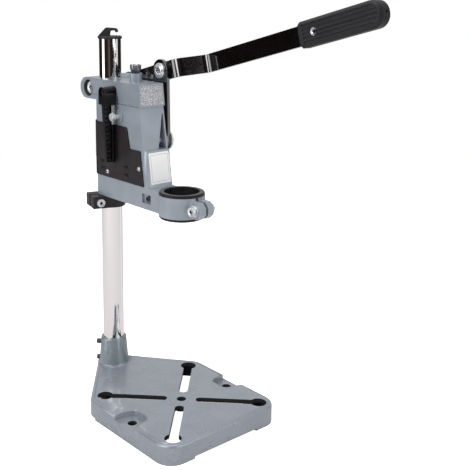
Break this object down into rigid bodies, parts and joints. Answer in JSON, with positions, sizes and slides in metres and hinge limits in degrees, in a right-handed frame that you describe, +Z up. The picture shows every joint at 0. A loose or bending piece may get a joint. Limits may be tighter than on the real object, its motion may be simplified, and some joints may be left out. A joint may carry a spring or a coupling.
{
  "type": "drill stand",
  "caption": "Bench drill stand with a cast slotted base, round column, lever-driven sliding carriage with a drill collar, return spring and depth stop.",
  "frame": {"origin": "on the bench plane, midway between the two bench bolt holes and under the drill axis, in line with the base's middle hole", "axes": "+X from the column towards the drill axis and the front, +Y to the lever's side, +Z up"},
  "size_m": [0.3787, 0.157, 0.4631],
  "materials": {
    "cast_grey": "hammered",
    "steel": "zinc plated",
    "chrome": "polished",
    "black_metal": "gloss",
    "black_plastic": "matte"
  },
  "bodies": {
    "base": {"base_casting": "cast_grey", "socket_set_screws": "steel"},
    "column": {"column_tube": "chrome", "column_cap": "black_plastic"},
    "head": {"head_block": "cast_grey", "head_clamp_bolt": "steel", "head_clamp_nut": "steel", "guide_rod": "steel", "crown_nut": "steel", "spring_plate": "steel", "rod_nut": "steel", "return_spring": "steel", "depth_stop": "black_plastic", "depth_rod": "steel", "depth_stop_screw": "steel", "lever_pivot_bolt": "steel"},
    "carriage": {"carriage_casting": "cast_grey", "cavity_cover": "black_plastic", "cover_screws": "steel", "arm_set_screw": "steel", "collar_bush_upper": "black_plastic", "collar_bush_lower": "black_plastic", "collar_clamp_screw": "steel", "collar_clamp_washer": "steel", "collar_clamp_nut": "steel", "lower_pivot_bolt": "steel"},
    "lever": {"lever_bar": "black_metal", "lever_grip": "black_plastic", "grip_screw": "steel", "link_bolt": "steel"},
    "link": {"link_bar": "black_metal"},
    "ring": {"stop_ring": "black_metal", "stop_ring_screw": "steel", "stop_ring_nut": "steel"},
    "lock": {"lock_screw": "steel"}
  },
  "joints": [
    {"name": "column_turn", "type": "hinge", "parent": "base", "child": "column", "pos_m": [-0.13, 0, 0.014], "axis": [0, 0, 1], "range_deg": [-180, 180]},
    {"name": "head_height", "type": "slide", "parent": "column", "child": "head", "axis": [0, 0, 1], "range_m": [-0.05, 0.04]},
    {"name": "lever_swing", "type": "hinge", "parent": "head", "child": "lever", "pos_m": [-0.1274, 0.026, 0.3628], "axis": [0, 1, 0], "range_deg": [0, 54.5], "stiffness_Nm_per_rad": 2, "springref_deg": -68.75},
    {"name": "carriage_slide", "type": "slide", "parent": "head", "child": "carriage", "axis": [0, 0, -1], "range_m": [0, 0.0601], "deforming": ["return_spring"]},
    {"name": "link_swing", "type": "hinge", "parent": "lever", "child": "link", "pos_m": [-0.06305, 0.021, 0.38149], "axis": [0, 1, 0], "range_deg": [-63.4, 0]},
    {"name": "ring_slide", "type": "slide", "parent": "carriage", "child": "ring", "axis": [0, 0, -1], "range_m": [0, 0.03]},
    {"name": "lock_turn", "type": "hinge", "parent": "carriage", "child": "lock", "pos_m": [-0.089, -0.026, 0.3308], "axis": [0, 1, 0], "range_deg": [0, 180]}
  ],
  "couplings": [
    {"joint": "carriage_slide", "follows": "lever_swing", "m_per_rad": 0.063078},
    {"joint": "link_swing", "follows": "lever_swing", "ratio": -1.1541}
  ]
}
